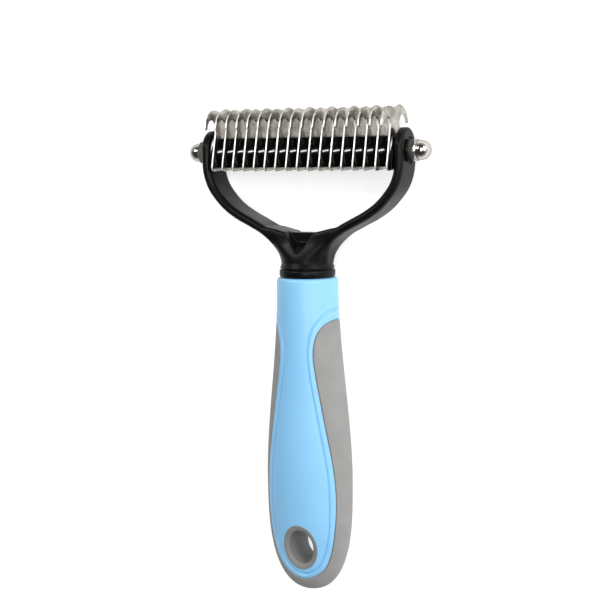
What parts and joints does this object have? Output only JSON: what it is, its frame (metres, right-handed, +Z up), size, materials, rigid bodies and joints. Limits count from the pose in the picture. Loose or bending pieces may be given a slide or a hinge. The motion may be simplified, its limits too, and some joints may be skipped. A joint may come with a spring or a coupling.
{
  "type": "undercoat rake",
  "caption": "Pet undercoat rake with hooked steel blades stacked on a rod between the arms of a plastic yoke, and a two-colour oval handle with a hanging hole.",
  "frame": {"origin": "on the table under the middle of the whole tool, which lies on its back", "axes": "+Y along the tool from the handle's foot to the blades, +X along the blade rod, +Z up out of the front, the side every blade has a hook on"},
  "size_m": [0.0994, 0.182, 0.0242],
  "materials": {
    "blade_steel": "fine polished stainless plate with bright edges",
    "spacer_plastic": "glossy black moulded plastic",
    "rod_steel": "threaded rod, plain steel",
    "nut_chrome": "bright plated",
    "yoke_plastic": "satin black moulded plastic, very fine grain",
    "handle_plastic": "satin light blue hard plastic",
    "grip_rubber": "matte grey soft overmould"
  },
  "bodies": {
    "frame": {"yoke": "yoke_plastic", "rod": "rod_steel", "handle_body": "handle_plastic", "grip": "grip_rubber", "hang_hole_liner": "grip_rubber"},
    "blade_pack": {"blade_01": "blade_steel", "blade_02": "blade_steel", "blade_03": "blade_steel", "blade_04": "blade_steel", "blade_05": "blade_steel", "blade_06": "blade_steel", "blade_07": "blade_steel", "blade_08": "blade_steel", "blade_09": "blade_steel", "blade_10": "blade_steel", "blade_11": "blade_steel", "blade_12": "blade_steel", "blade_13": "blade_steel", "blade_14": "blade_steel", "blade_15": "blade_steel", "blade_16": "blade_steel", "blade_17": "blade_steel", "spacer_01": "spacer_plastic", "spacer_02": "spacer_plastic", "spacer_03": "spacer_plastic", "spacer_04": "spacer_plastic", "spacer_05": "spacer_plastic", "spacer_06": "spacer_plastic", "spacer_07": "spacer_plastic", "spacer_08": "spacer_plastic", "spacer_09": "spacer_plastic", "spacer_10": "spacer_plastic", "spacer_11": "spacer_plastic", "spacer_12": "spacer_plastic", "spacer_13": "spacer_plastic", "spacer_14": "spacer_plastic", "spacer_15": "spacer_plastic", "spacer_16": "spacer_plastic", "end_spacer_left": "spacer_plastic", "end_spacer_right": "spacer_plastic"},
    "nut_left": {"cap_nut_left": "nut_chrome"},
    "nut_right": {"cap_nut_right": "nut_chrome"}
  },
  "joints": [
    {"name": "pack_turn", "type": "hinge", "parent": "frame", "child": "blade_pack", "pos_m": [0, 0.07456, 0.0118], "axis": [1, 0, 0], "range_deg": [-19, 11]},
    {"name": "left_nut_turn", "type": "hinge", "parent": "frame", "child": "nut_left", "pos_m": [0, 0.07456, 0.0118], "axis": [1, 0, 0], "continuous": true},
    {"name": "right_nut_turn", "type": "hinge", "parent": "frame", "child": "nut_right", "pos_m": [0, 0.07456, 0.0118], "axis": [1, 0, 0], "continuous": true}
  ]
}
